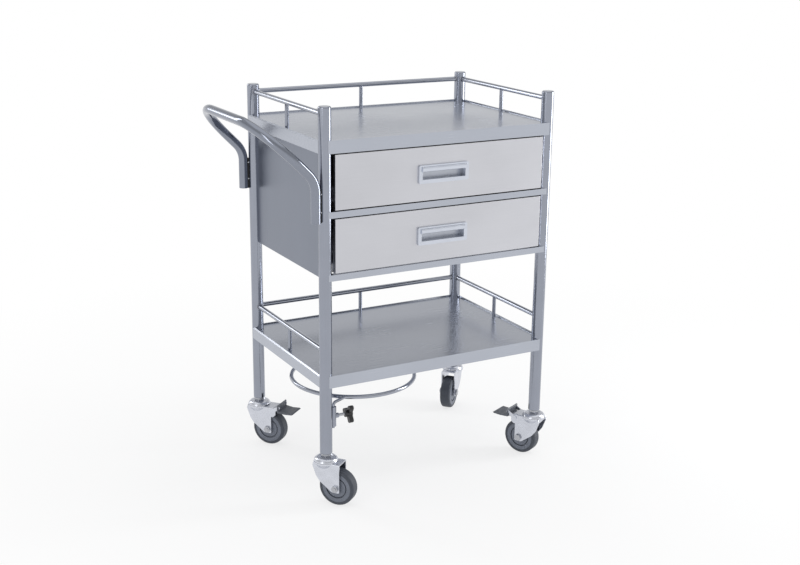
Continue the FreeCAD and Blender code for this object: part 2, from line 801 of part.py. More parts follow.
def make_clamp():
    """The screw that locks the ring's stem, backed off so that the ring swings, and its knob."""
    place = socket_place()
    across = turn(90, Vector(0, 1, 0))
    tip = s.stem_rod / 2 + s.screw_back_off
    knob_start = tip + s.clamp_screw_length
    screw = cylinder("screw_rod", s.clamp_screw / 2, s.clamp_screw_length + s.screw_in_knob)
    x = as_size(place.x) + tip
    sub_part(screw, "clamp_screw", x, place.y, clamp_height, across)

    body = new_body("clamp_knob")
    pad(body, circle(sketch_on(body, "XY_Plane"), s.knob_hub / 2), s.knob_width)
    lobe = sketch_on(body, "XY_Plane", s.knob_neck)
    circle(lobe, s.knob_lobe / 2, s.knob_reach, 0)
    lobe_pad = pad(body, lobe, s.knob_width - s.knob_neck)
    web = sketch_on(body, "XY_Plane", s.knob_neck)
    rectangle(web, 0, -s.knob_lobe / 2, s.knob_reach, s.knob_lobe / 2)
    web_pad = pad(body, web, s.knob_width - s.knob_neck)
    lobes = body.newObject("PartDesign::PolarPattern", "knob_lobes")
    lobes.Originals = [lobe_pad, web_pad]
    lobes.Axis = (web, ["N_Axis"])
    lobes.Angle = 360
    lobes.Occurrences = 3
    body.Tip = lobes
    doc.recompute()
    bore = sketch_on(body, "XY_Plane")
    circle(bore, s.clamp_screw / 2 + s.weld_gap / 2)
    pocket(body, bore, (s.screw_in_knob + s.weld_gap) * 2)
    fillet(body, lambda e: flat_at(s.knob_width)(e) and abs(e.Curve.Radius - s.knob_lobe.value / 2) < 0.01,
           s.knob_lobe_round)
    sub_part(body, "clamp_knob", as_size(place.x) + knob_start, place.y, clamp_height,
             across.multiply(turn(s.knob_turn.value)))


def make_caster_stems():
    """Threaded stem, hexagon and king pin of each caster, fixed in the post."""
    dish = s.cap_top_height - s.cap_dish_depth

    def stem(name, x, y):
        hexagon = bind(doc.addObject("Part::RegularPolygon", name + "_hexagon"),
                       Circumradius=s.stem_hex / (2 * math.cos(math.pi / 6)))
        hexagon.Polygon = 6
        collar = doc.addObject("Part::Extrusion", name + "_collar")
        collar.Base, collar.Dir, collar.Solid = hexagon, UP, True
        bind(collar, LengthFwd=s.post_foot - dish - s.weld_gap)
        move(hexagon, x, y, dish)
        thread = cylinder(name + "_thread", s.stem_outer / 2, s.stem_height, x, y,
                          s.post_foot - s.weld_gap * 2)
        head_top = s.fork_top - s.fork_sheet - s.swivel_gap
        pin = cylinder(name + "_pin", s.king_pin / 2, dish - head_top + s.king_head_height / 2,
                       x, y, head_top - s.king_head_height / 2)
        head = cylinder(name + "_head", s.king_head / 2, s.king_head_height, x, y,
                        head_top - s.king_head_height)
        return fuse(name + "_stem", [collar, thread, pin, head])
    sub_part(at_posts(stem, "caster"), "caster_stems")


def make_stem_sleeves():
    """The plugs in the posts' feet that the stems screw into."""
    def sleeve(name, x, y):
        body = new_body(name)
        ring = sketch_on(body, "XY_Plane")
        circle(circle(ring, post_bore - s.weld_gap), s.stem_outer / 2 + s.weld_gap)
        pad(body, ring, s.sleeve_height)
        return move(body, x, y, s.post_foot)
    sub_part(at_posts(sleeve, "sleeve"), "stem_sleeves")


def arc_profile(sketch, points, arc_at):
    """A closed outline whose side after the point numbered arc_at is an arc through the next point."""
    places = [(as_size(x), as_size(y)) for x, y in points]
    corners = [Vector(x.value, y.value, 0) for x, y in places]
    through = corners.pop(arc_at + 1)
    held = [place for i, place in enumerate(places) if i != arc_at + 1]
    for i, corner in enumerate(corners):
        after = corners[(i + 1) % len(corners)]
        side = Part.Arc(corner, through, after) if i == arc_at else Part.LineSegment(corner, after)
        sketch.addGeometry(side, False)
    starts, ends = arc_ends(sketch, corners, arc_at)
    for i, place in enumerate(held):
        after = (i + 1) % len(held)
        sketch.addConstraint(Sketcher.Constraint("Coincident", i, ends[i], after, starts[after]))
        hold(sketch, place, i, starts[i])
    through_point = sketch.addGeometry(Part.Point(through), True)
    sketch.addConstraint(Sketcher.Constraint("PointOnObject", through_point, 1, arc_at))
    hold(sketch, places[arc_at + 1], through_point, 1)
    return sketch


def arc_ends(sketch, corners, arc_at):
    """Which end of each side is its start: an arc may be kept the other way round."""
    starts, ends = [1] * len(corners), [2] * len(corners)
    if (sketch.getPoint(arc_at, 1) - corners[arc_at]).Length > 0.001:
        starts[arc_at], ends[arc_at] = 2, 1
    return starts, ends


def hold(sketch, place, geometry, point):
    """Holds a point at its place by two distances bound to the sheet."""
    for kind, size in (("DistanceX", place[0]), ("DistanceY", place[1])):
        index = sketch.addConstraint(Sketcher.Constraint(kind, -1, 1, geometry, point, size.value))
        if "Sizes" in size.text:
            sketch.setExpression("Constraints[%d]" % index, size.text)


def make_race_caps():
    """The domed cover over each caster's swivel race, with a dish round the stem's hexagon."""
    top = s.cap_top_height - s.cap_base_height
    shoulder = s.cap_shoulder_height - s.cap_base_height
    ceiling = s.fork_top + s.fork_race_height + s.swivel_gap - s.cap_base_height
    bore = s.king_pin / 2 + s.weld_gap

    def cap(name, x, y):
        body = new_body(name)
        profile = [(s.cap_crest / 2, top), (s.cap_shoulder / 2, shoulder), (s.cap_outer / 2, 0),
                   (s.cap_outer / 2 - s.cap_shell, 0), (s.fork_race / 2 + s.cap_shell, ceiling),
                   (bore, ceiling), (bore, top - s.cap_dish_depth), (s.cap_dish / 2, top - s.cap_dish_depth)]
        revolve(body, arc_profile(sketch_on(body, "XZ_Plane"), profile, 0))
        return move(body, x, y, s.cap_base_height)
    sub_part(at_posts(cap, "race_cap"), "race_caps")


def make_fork(corner, x, y):
    """A pressed fork: flared round crown, two tapered legs and, where it brakes, two ears."""
    body = new_body(corner + "_fork")
    half = s.fork_inside / 2 + s.fork_sheet
    crown_r = s.fork_crown / 2
    leg_end = s.trail + s.fork_leg_back
    side = sketch_on(body, "XZ_Plane")
    top, foot = s.fork_top, s.fork_leg_foot
    braked = corner in BRAKED
    out, corner_cut = s.brake_ear_out, s.brake_ear_corner
    ear = [(leg_end, s.brake_ear_foot), (out - corner_cut, s.brake_ear_foot),
           (out, s.brake_ear_foot + corner_cut), (out, top - corner_cut), (out - corner_cut, top)]
    trailing = ear if braked else [(leg_end, top)]
    front, back = s.trail - s.fork_foot_front, s.fork_foot_round
    outline(side, [(-s.fork_shoulder_out + back, top), (-s.fork_shoulder_out, s.fork_shoulder_height),
                   (-s.fork_shin_out, s.fork_shin_height), (-s.fork_ankle_out, s.fork_ankle_height),
                   (front, foot + back), (front + back * 2, foot), (leg_end - back, foot),
                   (leg_end, foot + back)] + trailing)
    pad(body, side, half * 2, True)
    inside = sketch_on(body, "YZ_Plane")
    rectangle(inside, -s.fork_inside / 2, 0, s.fork_inside / 2, top - s.fork_sheet)
    pocket(body, inside, s.fork_crown * 3)
    fillet(body, lambda e: along(0)(e) and abs(e.BoundBox.ZMin - top.value) < 0.01, s.fork_sheet * 0.9)
    shell, rim, flare_foot = s.fork_sheet, top - s.crown_rim, top - s.crown_flare
    flare_r = crown_r - s.crown_flare_in
    crown = sketch_on(body, "XZ_Plane")
    outline(crown, [(0, top), (crown_r, top), (crown_r, rim), (flare_r, flare_foot),
                    (flare_r - shell, flare_foot), (crown_r - shell, rim), (crown_r - shell, top - shell),
                    (0, top - shell)])
    revolve(body, crown)
    wheel_room = sketch_on(body, "XZ_Plane")
    rectangle(wheel_room, s.crown_open_from, foot, leg_end, top - shell)
    pocket(body, wheel_room, s.fork_inside)
    race = circle(sketch_on(body, "XY_Plane", top), s.fork_race / 2)
    pad(body, race, s.fork_race_height)
    bore = circle(sketch_on(body, "XY_Plane", top), s.king_pin / 2 + s.fit_gap)
    pocket(body, bore, s.fork_sheet * 6)
    hole = circle(sketch_on(body, "XZ_Plane"), s.axle / 2 + s.weld_gap / 2, s.trail, wheel_r)
    pocket(body, hole, half * 3)
    if braked:
        pin_hole = circle(sketch_on(body, "XZ_Plane"), s.brake_pin / 2 + s.weld_gap / 2,
                          s.brake_pivot_out, s.brake_pivot_height)
        pocket(body, pin_hole, half * 3)
    sub_part(body, corner + "_fork", x, y, 0, turn(TRAILS[corner]))


def half_and_mirror(points):
    """A profile's upper half, given from the axis outwards, closed by its mirror image."""
    return points + [(r, -z) for r, z in reversed(points)]


def make_wheel(corner, x, y):
    """The wheel's hub and tyre, turned about the axle."""
    angle = math.radians(TRAILS[corner])
    trail = s.trail
    place = (x + trail * math.cos(angle), y + trail * math.sin(angle), wheel_r)
    rotation = turn(TRAILS[corner]).multiply(turn(-90, Vector(1, 0, 0)))
    half = s.wheel_width / 2
    rim = wheel_r - s.tyre_depth
    groove = s.hub_groove / 2
    edge = s.hub_groove_width / 2
    web = half - s.hub_recess
    hub = new_body(corner + "_wheel_hub")
    sketch = sketch_on(hub, "XZ_Plane")
    outline(sketch, half_and_mirror([
        (s.axle / 2 + s.fit_gap, s.fork_inside / 2 - s.swivel_gap),
        (s.hub_boss / 2, s.fork_inside / 2 - s.swivel_gap), (s.hub_boss / 2 + s.boss_slope, web),
        (groove - edge, web), (groove - edge, web - s.hub_groove_depth),
        (groove + edge, web - s.hub_groove_depth), (groove + edge, half - s.hub_step),
        (rim, half - s.hub_step)]))
    revolve(hub, sketch)
    sub_part(hub, corner + "_wheel_hub", *place, rotation)
    tyre = new_body(corner + "_tyre")
    section = sketch_on(tyre, "XZ_Plane")
    rectangle(section, rim + s.weld_gap / 2, -half, wheel_r, half)
    revolve(tyre, section)
    fillet(tyre, lambda e: isinstance(e.Curve, Part.Circle) and e.Curve.Radius > wheel_r.value - 0.1
           and abs(abs(e.BoundBox.ZMin) - half.value) < 0.01, s.tyre_round)
    sub_part(tyre, corner + "_tyre", *place, rotation)


def make_axle(corner, x, y):
    """The axle bolt through fork and wheel, with its nut."""
    angle = math.radians(TRAILS[corner])
    half = s.fork_inside / 2 + s.fork_sheet + s.weld_gap
    place = (x + s.trail * math.cos(angle), y + s.trail * math.sin(angle), wheel_r)
    rotation = turn(TRAILS[corner]).multiply(turn(-90, Vector(1, 0, 0)))
    name = corner + "_axle"
    heads = []
    for part, z in (("head", half), ("nut", -half - s.axle_head_height)):
        hexagon = bind(doc.addObject("Part::RegularPolygon", "%s_%s_outline" % (name, part)),
                       Circumradius=s.axle_head / (2 * math.cos(math.pi / 6)))
        hexagon.Polygon = 6
        move(hexagon, 0, 0, z)
        prism = doc.addObject("Part::Extrusion", "%s_%s" % (name, part))
        prism.Base, prism.Dir, prism.Solid = hexagon, UP, True
        bind(prism, LengthFwd=s.axle_head_height)
        heads.append(prism)
    length = half * 2 + s.axle_head_height * 2
    shank = cylinder(name + "_shank", s.axle / 2, length, 0, 0, -half - s.axle_head_height - s.axle_end)
    bolt = fuse(name + "_bolt", [shank, heads[0]])
    bore = cylinder(name + "_bore", s.axle / 2 + s.weld_gap / 2, length * 2, 0, 0, -length)
    nut = cut(name + "_drilled", heads[1], bore)
    sub_part(group(name, [bolt, nut]), name, *place, rotation)


def plate_outline(sketch, start):
    """The pedal's plate seen from its side: a tread that reaches out, and a heel that stands up."""
    t, heel, rise = s.pedal_sheet, s.pedal_heel_out, s.pedal_heel_rise
    reach, dip, tip = s.pedal_reach, s.pedal_dip, s.pedal_tip_rise
    bend = (heel + reach) / 2
    outline(sketch, [(start, 0), (bend, -dip), (reach - t, tip - t), (reach, tip - t / 2), (reach - t, tip),
                     (bend, t - dip), (heel + t, t * 1.5), (heel + t, rise - t), (heel + t / 2, rise),
                     (heel, rise - t), (heel, t * 1.5), (start, t)])


def make_brake(corner, x, y):
    """A rocker pedal on a pin between the fork's ears, with a nose that jams the tyre."""
    angle = TRAILS[corner]
    away = math.radians(angle)
    px, pz = s.brake_pivot_out, s.brake_pivot_height
    half = s.fork_inside / 2 + s.fork_sheet + s.brake_pin_out
    level = turn(angle).multiply(turn(-90, Vector(1, 0, 0)))
    pin = cylinder(corner + "_pin", s.brake_pin / 2, half * 2)
    sub_part(pin, corner + "_brake_pin", x + px * math.cos(away) + half * math.sin(away),
             y + px * math.sin(away) - half * math.cos(away), pz, level)

    body = new_body(corner + "_pedal")
    pad(body, circle(sketch_on(body, "XZ_Plane"), s.brake_hub / 2), s.pedal_width, True)
    nose = sketch_on(body, "XZ_Plane")
    nose_half = s.brake_nose_width / 2
    outline(nose, [(-nose_half, 0), (s.brake_nose_out, -s.brake_nose_drop), (nose_half * 2, -nose_half),
                   (nose_half * 2, 0)])
    pad(body, nose, s.pedal_width, True)
    plate_outline(arm := sketch_on(body, "XZ_Plane"), 0)
    pad(body, arm, s.pedal_width, True)
    plate_outline(wing := sketch_on(body, "XZ_Plane"), s.pedal_heel_out)
    pad(body, wing, s.pedal_wing, True)
    bore = circle(sketch_on(body, "XZ_Plane"), s.brake_pin / 2 + s.fit_gap)
    pocket(body, bore, s.pedal_width * 2)
    sub_part(body, corner + "_brake_pedal", x + px * math.cos(away), y + px * math.sin(away), pz,
             turn(angle))


def check_and_write():
    """Stops on any failed feature, then writes each sub-part to its STEP file."""
    doc.recompute()
    for obj in doc.Objects:
        if "Invalid" in obj.State or "Error" in obj.State:
            raise ValueError("%s failed: %s" % (obj.Name, obj.State))
    os.makedirs("parts", exist_ok=True)
    for obj in sub_parts:
        if obj.Shape.isNull() or not obj.Shape.isValid() or not obj.Shape.Solids:
            raise ValueError(obj.Label + " has no valid solid")
        obj.Shape.exportStep("parts/%s.step" % obj.Label)
    print(len(sub_parts), "sub-parts written")


def build():
    cabinet_top = top_shelf_height - s.shelf_flange
    upper_foot = cabinet_top - s.bay_height
    lower_foot = upper_foot - s.front_rail_height - s.bay_height
    posts = post_cutter(s.weld_gap)
    for corner, (sx, sy) in CORNERS.items():
        x, y = s.post_span_x * (sx / 2), s.post_span_y * (sy / 2)
        make_post(corner, sx, sy)
        make_fork(corner, x, y)
        make_wheel(corner, x, y)
        make_axle(corner, x, y)
        if corner in BRAKED:
            make_brake(corner, x, y)
    make_post_caps()
    make_stem_sleeves()
    make_caster_stems()
    make_race_caps()
    make_shelf("top_shelf", top_shelf_height, posts)
    make_shelf("lower_shelf", s.lower_shelf_height, posts)
    make_guards("top", top_shelf_height, posts)
    make_guards("lower", s.lower_shelf_height, posts)
    make_panel("left_panel", s.post_span_y, -s.post_span_x / 2, 0, turn(0))
    make_panel("right_panel", s.post_span_y, s.post_span_x / 2, 0, turn(180))
    make_panel("back_panel", s.post_span_x, 0, s.post_span_y / 2, turn(-90))
    make_front_rail("middle_front_rail", upper_foot, posts)
    make_front_rail("bottom_front_rail", lower_foot, posts)
    make_fixed_runners({"upper": upper_foot, "lower": lower_foot})
    make_drawer("upper", upper_foot)
    make_drawer("lower", lower_foot)
    make_handle()
    make_handle_pads()
    make_ring_socket()
    make_bucket_ring()
    make_clamp()
    check_and_write()


build()
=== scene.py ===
import json
import math

import bpy
from mathutils import Matrix, Vector


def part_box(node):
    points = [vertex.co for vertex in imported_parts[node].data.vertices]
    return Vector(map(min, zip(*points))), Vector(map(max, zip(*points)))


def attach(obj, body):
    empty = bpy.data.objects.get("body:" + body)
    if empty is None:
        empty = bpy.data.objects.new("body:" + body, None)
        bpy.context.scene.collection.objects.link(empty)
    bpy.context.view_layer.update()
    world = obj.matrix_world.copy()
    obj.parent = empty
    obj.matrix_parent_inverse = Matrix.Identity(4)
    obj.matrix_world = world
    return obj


# A stainless steel medical trolley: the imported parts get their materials, and small visible
# details such as weld beads, drawer hems and brake links are added. Metres, Z up.

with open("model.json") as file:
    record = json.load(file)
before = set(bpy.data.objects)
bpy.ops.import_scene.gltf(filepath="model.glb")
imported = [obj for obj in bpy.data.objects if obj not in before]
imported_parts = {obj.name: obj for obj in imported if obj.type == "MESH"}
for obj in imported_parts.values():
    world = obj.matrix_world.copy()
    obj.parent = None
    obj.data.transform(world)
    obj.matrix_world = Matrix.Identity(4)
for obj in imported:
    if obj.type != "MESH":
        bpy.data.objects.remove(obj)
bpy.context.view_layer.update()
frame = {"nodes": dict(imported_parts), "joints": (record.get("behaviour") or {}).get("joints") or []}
cad_parts = frame["nodes"]
joints = {joint["name"]: joint for joint in frame["joints"]}


# Materials


class Shade:
    """A number that shader nodes work out over a surface; an expression on it adds Math nodes."""

    def __init__(self, nodes, socket):
        self.nodes = nodes
        self.socket = socket

    def math(self, operation, first, second, clamp=False):
        node = self.nodes.add("ShaderNodeMath", {"operation": operation, "use_clamp": clamp},
                              {0: first, 1: second})
        return Shade(self.nodes, node.outputs[0])

    def __add__(self, other):
        return self.math("ADD", self, other)

    def __sub__(self, other):
        return self.math("SUBTRACT", self, other)

    def __rsub__(self, other):
        return self.math("SUBTRACT", other, self)

    def __mul__(self, other):
        return self.math("MULTIPLY", self, other)

    __radd__ = __add__
    __rmul__ = __mul__

    def above(self, level, width):
        """0 below the level and 1 above it, turning over the width."""
        return self.math("ADD", (self - level) * (1 / width), 0.5, clamp=True)


class Nodes:
    """The nodes of one material or of the world."""

    def __init__(self, tree):
        self.tree = tree

    def add(self, kind, settings=None, sockets=None):
        """A new node: its settings are made first, then its sockets are set or linked."""
        node = self.tree.nodes.new(kind)
        for name, value in (settings or {}).items():
            if name == "stops":
                self.set_stops(node.color_ramp.elements, value)
            else:
                setattr(node, name, value)
        self.fill(node, sockets or {})
        return node

    def set_stops(self, stops, places):
        """Gives a ramp its stops, as a grey level at each place from 0 to 1."""
        while len(stops) < len(places):
            stops.new(1)
        for stop, (place, grey) in zip(stops, places):
            stop.position = place
            stop.color = (grey, grey, grey, 1)

    def fill(self, node, sockets):
        """Sets a node's sockets to values, or links them to other sockets."""
        for name, value in sockets.items():
            if isinstance(value, Shade):
                value = value.socket
            if isinstance(value, bpy.types.NodeSocket):
                self.tree.links.new(value, node.inputs[name])
            else:
                node.inputs[name].default_value = value


# a Mix node has several sockets of one name, so those for colours are given by number
MIX_FACTOR, MIX_DARK, MIX_LIGHT, MIX_RESULT = 0, 6, 7, 2


class Paint(Nodes):
    """A material with one shader, and short ways to make what feeds it."""

    def __init__(self, name, color, roughness, metallic=0):
        self.material = bpy.data.materials.new(name)
        self.material.use_nodes = True
        super().__init__(self.material.node_tree)
        self.shader = self.tree.nodes["Principled BSDF"]
        self.place = self.add("ShaderNodeTexCoord").outputs["Object"]
        self.fill(self.shader, {
            "Base Color": (*color, 1), "Roughness": roughness, "Metallic": metallic})

    def feed(self, socket, value):
        self.fill(self.shader, {socket: value})

    def noise(self, scale, stretch=(1, 1, 1), detail=3, seed=0):
        """Smooth noise from about 0 to 1, with so many blotches per metre."""
        mapping = self.add("ShaderNodeMapping", None, {
            "Vector": self.place, "Scale": stretch, "Location": (seed, seed * 2, seed * 3)})
        cloud = self.add("ShaderNodeTexNoise", None, {
            "Vector": mapping.outputs["Vector"], "Scale": scale, "Detail": detail})
        return Shade(self, cloud.outputs["Fac"])

    def lines(self, along, scale, fineness, detail=3, seed=0):
        """Noise drawn out into lines along X, Y or Z."""
        stretch = [1 if letter == along else fineness for letter in "XYZ"]
        return self.noise(scale, stretch, detail, seed)

    def blend(self, amount, dark, light):
        """Feeds the colour with a blend of two, by an amount from 0 to 1."""
        mix = self.add("ShaderNodeMix", {"data_type": "RGBA"}, {
            MIX_FACTOR: amount, MIX_DARK: (*dark, 1), MIX_LIGHT: (*light, 1)})
        self.feed("Base Color", mix.outputs[MIX_RESULT])

    def bump(self, height, distance, strength):
        node = self.add("ShaderNodeBump", None, {
            "Height": height, "Distance": distance, "Strength": strength})
        self.feed("Normal", node.outputs["Normal"])


def tone(color, factor):
    return tuple(min(part * factor, 1) for part in color)


def brushed_steel(name, color, roughness, along):
    """Satin sheet steel: hair-fine lines along X, Y or Z, and slow clouds in its shine."""
    paint = Paint(name, color, roughness, metallic=1)
    fine = paint.lines(along, scale=14, fineness=70, detail=4)
    wiped = paint.lines(along, scale=4, fineness=3, seed=5)
    cloud = paint.noise(scale=7, seed=9)
    paint.blend(fine * 0.25 + wiped * 0.35 + cloud * 0.4, tone(color, 0.84), tone(color, 1.16))
    paint.feed("Roughness", fine * 0.1 + cloud * 0.14 + (roughness - 0.12))
    paint.bump(fine, distance=0.00001, strength=0.4)
    return paint.material


def polished_tube(name, color, roughness, along):
    """Polished tube with faint lines along it and slight smears from handling."""
    paint = Paint(name, color, roughness, metallic=1)
    drawn = paint.lines(along, scale=8, fineness=70)
    smears = paint.noise(scale=22, seed=4)
    paint.blend(drawn * 0.5 + smears * 0.5, tone(color, 0.86), tone(color, 1.14))
    paint.feed("Roughness", smears * 0.12 + drawn * 0.06 + (roughness - 0.09))
    paint.bump(drawn, distance=0.00001, strength=0.4)
    return paint.material


def zinc_plate(name, color, roughness):
    """Zinc-plated pressed steel: a fine crystal mottle and shallow waves from the press."""
    paint = Paint(name, color, roughness, metallic=1)
    mottle = paint.noise(scale=420)
    waves = paint.noise(scale=60, detail=2, seed=3)
    paint.blend(mottle * 0.3 + waves * 0.7, tone(color, 0.84), tone(color, 1.14))
    paint.feed("Roughness", mottle * 0.12 + (roughness - 0.06))
    paint.bump(waves * 0.92 + mottle * 0.08, distance=0.0001, strength=0.5)
    return paint.material


def moulding(name, color, roughness, grain_depth=0.00004):
    """Moulded plastic or rubber with a fine grain, and paler where it is rubbed."""
    paint = Paint(name, color, roughness)
    grain = paint.noise(scale=1500, detail=2)
    rubbed = paint.noise(scale=60, detail=4, seed=7)
    paint.blend(rubbed.above(0.6, 0.6), tone(color, 0.92), tone(color, 1.2))
    paint.feed("Roughness", rubbed * 0.2 + (roughness - 0.1))
    paint.bump(grain, grain_depth, strength=0.6)
    return paint.material


def pull_plating(name, color, roughness):
    """Satin plating on the moulded pulls, with painted shade inside the recess and faint handling
    marks.
    """
    behind_front, fade = 0.004, 0.006
    front_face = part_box("upper_drawer_front")[0].y
    paint = Paint(name, color, roughness, metallic=0.85)
    marks = paint.noise(scale=35, stretch=(1, 1, 2), detail=4, seed=2)
    grain = paint.noise(scale=900, detail=2)
    depth = paint.add("ShaderNodeSeparateXYZ", None, {"Vector": paint.place}).outputs["Y"]
    # painted shade: the colour darkens where the pull's surface lies deeper than the drawer front,
    # inside the recess
    recess_shade = Shade(paint, depth).above(front_face + behind_front, fade)
    paint.blend(marks * 0.4 + (1 - recess_shade) * 0.6, tone(color, 0.74), tone(color, 1.12))
    paint.feed("Roughness", marks * 0.16 + (roughness - 0.08))
    paint.bump(grain, distance=0.00001, strength=0.5)
    return paint.material


paints = {
    "front": brushed_steel("steel_front", (0.585, 0.59, 0.625), roughness=0.36, along="X"),
    "shelf": brushed_steel("steel_shelf", (0.45, 0.475, 0.535), roughness=0.25, along="X"),
    # painted shade: the side panels are the fronts' sheet steel in a darker copy, standing in for the
    # lesser light they get
    "side": brushed_steel("steel_side_painted_shade", (0.215, 0.235, 0.285), roughness=0.3, along="Z"),
    "inside": brushed_steel("steel_inside", (0.36, 0.38, 0.42), roughness=0.4, along="X"),
    "tube_x": polished_tube("tube_across", (0.36, 0.38, 0.435), roughness=0.15, along="X"),
    "tube_y": polished_tube("tube_deep", (0.36, 0.38, 0.435), roughness=0.15, along="Y"),
    # painted shade: the uprights are the rails' polished tube in a darker copy, standing in for the
    # darker light they reflect
    "tube_z": polished_tube("tube_upright_painted_shade", (0.315, 0.335, 0.39), roughness=0.15, along="Z"),
    # painted shade: the push handle is the polished tube in a much darker copy, standing in for the
    # dark reflections along it
    "handle": polished_tube("handle_tube_painted_shade", (0.26, 0.28, 0.33), roughness=0.14, along="Y"),
    "zinc": zinc_plate("zinc", (0.64, 0.66, 0.72), roughness=0.28),
    "bolt": zinc_plate("bolt_zinc", (0.46, 0.47, 0.50), roughness=0.24),
    "weld": zinc_plate("weld_bead", (0.34, 0.35, 0.39), roughness=0.32),
    "tyre": moulding("tyre_rubber", (0.052, 0.06, 0.078), roughness=0.56, grain_depth=0.00008),
    "hub": moulding("wheel_core", (0.155, 0.172, 0.212), roughness=0.45),
    "pull": pull_plating("pull_plating", (0.58, 0.61, 0.68), roughness=0.3),
    "knob": moulding("black_plastic", (0.016, 0.016, 0.018), roughness=0.32),
    "pad": moulding("black_rubber", (0.008, 0.008, 0.009), roughness=0.7),
    "pedal": moulding("pedal_plastic", (0.105, 0.115, 0.138), roughness=0.46),
}

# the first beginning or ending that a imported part's name has gives its paint
PAINT_BY_BEGINNING = {
    "post_": "tube_z", "top_rail_supports": "tube_z", "lower_rail_supports": "tube_z",
    "ring_socket": "tube_z", "left_panel": "side", "right_panel": "side"}
PAINT_BY_ENDING = {
    "back_rail": "tube_x", "left_rail": "tube_y", "right_rail": "tube_y",
    "drawer_front": "front", "drawer_box": "inside", "runners": "inside",
    "stem_sleeves": "inside", "_fork": "zinc", "race_caps": "zinc", "_axle": "bolt",
    "_pin": "bolt", "clamp_screw": "bolt", "caster_stems": "bolt", "tyre": "tyre",
    "wheel_hub": "hub", "brake_pedal": "pedal", "_pull": "pull", "clamp_knob": "knob",
    "handle_pads": "pad", "push_handle": "handle", "bucket_ring": "tube_x"}


def paint_for(part):
    """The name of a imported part's paint: sheet parts that aren't listed are as the shelves."""
    for beginning, paint in PAINT_BY_BEGINNING.items():
        if part.startswith(beginning):
            return paint
    for ending, paint in PAINT_BY_ENDING.items():
        if part.endswith(ending):
            return paint
    return "shelf"


for name, part in cad_parts.items():
    part.data.materials.clear()
    part.data.materials.append(paints[paint_for(name)])


# Modelling helpers for new pieces

UP = Vector((0, 0, 1))
SMOOTH_BELOW = math.radians(40)


def pick(*objects):
    """Selects only these objects and makes the first of them active."""
    bpy.ops.object.select_all(action="DESELECT")
    for obj in objects:
        obj.select_set(True)
    bpy.context.view_layer.objects.active = objects[0]


def model(add, **sizes):
    """Adds a primitive by itself and returns it."""
    bpy.ops.object.select_all(action="DESELECT")
    add(**sizes)
    return bpy.context.active_object


def edit_faces(obj, wanted):
    """Opens edit mode with only the faces selected that wanted accepts, by centre and normal."""
    pick(obj)
    bpy.ops.object.mode_set(mode="EDIT")
    bpy.ops.mesh.select_mode(type="FACE")
    bpy.ops.mesh.select_all(action="DESELECT")
    bpy.ops.object.mode_set(mode="OBJECT")
    for face in obj.data.polygons:
        face.select = wanted(face.center, face.normal)
    bpy.ops.object.mode_set(mode="EDIT")


def flat_end(centre, normal):
    """Whether a face is one of the two flat ends of a round bar that stands along Z."""
    return abs(normal.z) > 0.99


def close_edit():
    bpy.ops.object.mode_set(mode="OBJECT")


def modify(obj, kind, **settings):
    """Applies a modifier with these settings."""
    pick(obj)
    modifier = obj.modifiers.new(kind, kind)
    for name, value in settings.items():
        setattr(modifier, name, value)
    bpy.ops.object.modifier_apply(modifier=modifier.name)


def write_place(obj):
    """Writes an object's place, turn and size into its mesh."""
    pick(obj)
    bpy.ops.object.transform_apply(location=True, rotation=True, scale=True)


def copy_to(obj, matrix):
    """A copy with its own mesh, put at a place that is written into the mesh."""
    twin = obj.copy()
    twin.data = obj.data.copy()
    twin.data.transform(matrix)
    bpy.context.scene.collection.objects.link(twin)
    return twin


def join(parts):
    pick(*parts)
    bpy.ops.object.join()
    return bpy.context.active_object


def finish_piece(obj, name, paint, body):
    """Smooths, names and paints a finished piece, and puts it under its body's empty."""
    pick(obj)
    bpy.ops.object.shade_smooth_by_angle(angle=SMOOTH_BELOW)
    obj.name = obj.data.name = name
    obj.data.materials.clear()
    obj.data.materials.append(paints[paint])
    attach(obj, body)


def axes(x, y, z, place):
    """The matrix that puts a piece's own X, Y and Z along three directions at a place."""
    turned = Matrix((x, y, z)).transposed().to_4x4()
    return Matrix.Translation(place) @ turned


def middle(part):
    """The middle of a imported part's box."""
    low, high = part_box(part)
    return (low + high) / 2


def flat(vector):
    """A vector laid level."""
    return Vector((vector.x, vector.y, 0))


POSTS = {corner: middle("post_" + corner)
         for corner in ("front_left", "back_left", "front_right", "back_right")}
POST_R = (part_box("post_front_left")[1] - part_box("post_front_left")[0]).x / 2


# New pieces

RAIL_ENDS = (("back_left", "back_right"), ("front_left", "back_left"),
             ("front_right", "back_right"))


def weld_bead(tube_r):
    """A wavy bead round the end of a tube that runs along Y into an upright post."""
    section_r = 0.0011
    wave_length = 0.0022
    wave_height = 0.0005
    bead = model(bpy.ops.mesh.primitive_torus_add, major_radius=tube_r + section_r / 2,
                 minor_radius=section_r, major_segments=40, minor_segments=12,
                 rotation=(math.pi / 2, 0, 0))
    write_place(bead)
    waves = bpy.data.textures.new("weld_run", "CLOUDS")
    waves.noise_scale = wave_length
    modify(bead, "DISPLACE", texture=waves, strength=wave_height)
    modify(bead, "SIMPLE_DEFORM", deform_method="BEND", deform_axis="Z",
           angle=-bead.dimensions.x / POST_R)
    return bead


def rail_welds():
    """A bead round each end of each guard rail, curved to the post that it meets."""
    for level in ("top", "lower"):
        low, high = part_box(level + "_back_rail")
        bead = weld_bead(tube_r=(high.z - low.z) / 2)
        rail_height = (high.z + low.z) / 2
        beads = []
        for ends in RAIL_ENDS:
            for here, other in (ends, ends[::-1]):
                away = (POSTS[other] - POSTS[here]).normalized()
                place = flat(POSTS[here]) + UP * rail_height + away * POST_R
                beads.append(copy_to(bead, axes(away.cross(UP), away, UP, place)))
        bpy.data.objects.remove(bead)
        finish_piece(join(beads), level + "_rail_welds", "weld", "frame")


